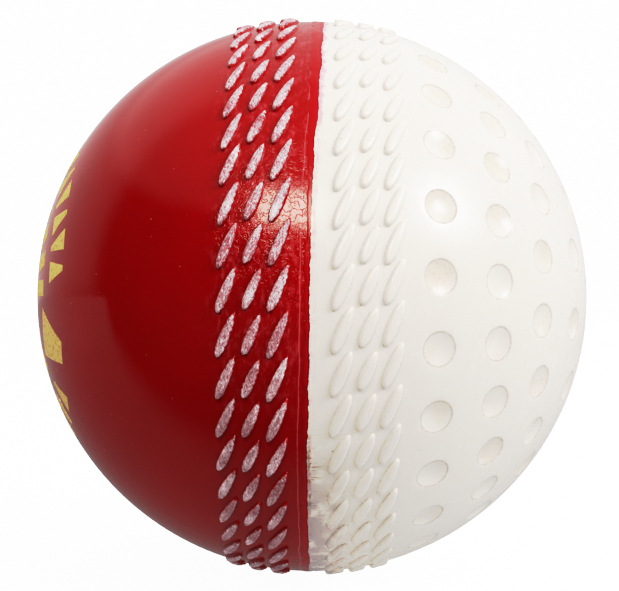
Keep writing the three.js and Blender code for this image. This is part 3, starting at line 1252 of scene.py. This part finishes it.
# %% [markdown]
# ## Light
#
# Two windows of soft light show as the two bright patches, and the right-hand one is the key. The
# rest comes from the surround. Glossy plastic mirrors whatever is round it, so the surround is
# dark in front, where the room behind the camera is, and pale at the back, which gives the pale
# rim. A separate soft glow, from above and behind on the right, lights the plastic evenly.

# %% Windows
KEY_DIRECTION = Vector((0.74, -0.43, 0.52)).normalized()
FRONT_DIRECTION = Vector((-0.15, -0.81, 0.55)).normalized()
WINDOW_DISTANCE = 1.0
WHITE = (1.0, 1.0, 1.0)
WARM = (1.0, 0.93, 0.80)


def soft_window(name, direction, width, height, power, colour):
    deselect_all()
    bpy.ops.object.light_add(type="AREA")
    window = bpy.context.object
    window.name = name
    window.data.shape = "RECTANGLE"
    window.data.size = width
    window.data.size_y = height
    window.data.energy = power
    window.data.color = colour
    turn = direction.to_track_quat("Z", "Y").to_matrix().to_4x4()
    window.matrix_world = Matrix.Translation(direction * WINDOW_DISTANCE) @ turn


soft_window("key_window", KEY_DIRECTION, width=0.36, height=0.30, power=4.6, colour=WHITE)
soft_window("front_window", FRONT_DIRECTION, width=0.42, height=0.26, power=3.5, colour=WARM)


# %% Surround
GLOW_DIRECTION = Vector((0.41, 0.65, 0.64)).normalized()
GLOW_SLOPE = 0.90
GLOW_LEVEL = 0.65
BACKGROUND = 3.0


def make_surround():
    world = bpy.data.worlds.new("surround")
    world.use_nodes = True
    tree = world.node_tree
    direction = add_node(tree, "ShaderNodeTexCoord").outputs["Generated"]
    parts = split(tree, direction)
    path = add_node(tree, "ShaderNodeLightPath").outputs

    back = math_node(tree, "MAXIMUM", parts["Y"], 0.0)
    upper = times(tree, ramp_between(tree, parts["Y"], 0.0, 0.25), 0.22)
    upper = plus(tree, upper, times(tree, back, 0.35))
    lower = times(tree, back, 0.4)
    mirrored = mix_value(tree, ramp_between(tree, parts["Z"], -0.1, 0.1), lower, upper)
    overhead = times(tree, ramp_between(tree, parts["Z"], 0.47, 0.57), 0.2)
    mirrored = plus(tree, mirrored, overhead)

    toward = add_node(tree, "ShaderNodeVectorMath", {
        0: direction, 1: GLOW_DIRECTION}, operation="DOT_PRODUCT").outputs["Value"]
    glow = math_node(tree, "MULTIPLY_ADD", toward, GLOW_SLOPE, GLOW_LEVEL)
    glow = math_node(tree, "MAXIMUM", glow, 0.0)

    strength = mix_value(tree, path["Is Glossy Ray"], glow, mirrored)
    strength = mix_value(tree, path["Is Camera Ray"], strength, BACKGROUND)
    tree.links.new(strength, tree.nodes["Background"].inputs["Strength"])
    tree.nodes["Background"].inputs["Color"].default_value = (*WHITE, 1.0)
    bpy.context.scene.world = world


make_surround()

# %% [markdown]
# ## Floor
#
# To the eye the floor is white. Its colour is painted a little paler on the right, towards the key
# window, as painted light that throws more onto the ball from that side, and the floor glows
# behind the ball. The gloss sees it dark in front, where the room is dark too.

# %% Floor
FLOOR_SIZE = 4.0
FLOOR_PAINTED_DIM_LEFT = (0.25, 0.25, 0.25)
FLOOR_PAINTED_LIT_RIGHT = (0.34, 0.34, 0.34)
FLOOR_GLOW = 0.40
FLOOR_SEEN = 1.5
DARK_UNTIL = -1.30 * BALL_RADIUS
PALE_FROM = -0.75 * BALL_RADIUS


def make_floor():
    deselect_all()
    bpy.ops.mesh.primitive_plane_add(size=FLOOR_SIZE, location=(0.0, 0.0, cad_box[0][2]))
    floor = bpy.context.object
    floor.name = "floor"
    bake_place(floor)
    material, tree, shader = new_material("floor")
    path = add_node(tree, "ShaderNodeLightPath").outputs
    coordinates = add_node(tree, "ShaderNodeTexCoord").outputs["Object"]
    parts = split(tree, coordinates)
    # Painted light: the floor's colour is lighter towards the key window on the right.
    right = ramp_between(tree, parts["X"], -1.5 * BALL_RADIUS, 2.0 * BALL_RADIUS)
    shade = mix_colour(tree, right, FLOOR_PAINTED_DIM_LEFT, FLOOR_PAINTED_LIT_RIGHT)
    shade = mix_colour(tree, path["Is Glossy Ray"], shade, (0.0, 0.0, 0.0))
    tree.links.new(shade, shader.inputs["Base Color"])
    shader.inputs["Roughness"].default_value = 0.9
    shader.inputs["Specular IOR Level"].default_value = 0.1

    away = add_node(tree, "ShaderNodeVectorMath", {0: coordinates}, operation="LENGTH")
    near = ramp_between(tree, away.outputs["Value"], 6 * BALL_RADIUS, 1.5 * BALL_RADIUS)
    behind = ramp_between(tree, parts["Y"], DARK_UNTIL, PALE_FROM)
    mirrored = times(tree, behind, math_node(tree, "MULTIPLY_ADD", near, -0.08, 0.30))
    glow = mix_value(tree, path["Is Camera Ray"], times(tree, behind, FLOOR_GLOW), FLOOR_SEEN)
    glow = mix_value(tree, path["Is Glossy Ray"], glow, mirrored)
    shader.inputs["Emission Color"].default_value = (*WHITE, 1.0)
    tree.links.new(glow, shader.inputs["Emission Strength"])
    dress(floor, material)


make_floor()

# %% [markdown]
# ## The picture's tones
#
# The red reads deep and the white keeps its detail, as under a camera's contrast curve. Each
# point is a brightness in the scene and the brightness it is shown at.

# %% Contrast curve
TONES = ((0.0, 0.0), (0.05, 0.03), (0.16, 0.14), (0.25, 0.27), (0.40, 0.56), (0.55, 0.68),
         (0.70, 0.77), (1.0, 0.90), (1.6, 0.98), (2.5, 1.0))


def set_tones():
    view = bpy.context.scene.view_settings
    view.view_transform = "Standard"
    view.use_curve_mapping = True
    mapping = view.curve_mapping
    mapping.use_clip = False
    mapping.clip_max_x = TONES[-1][0]
    curve = mapping.curves[3]
    curve.points[0].location = TONES[0]
    curve.points[1].location = TONES[-1]
    for point in TONES[1:-1]:
        curve.points.new(*point)
    mapping.update()


set_tones()
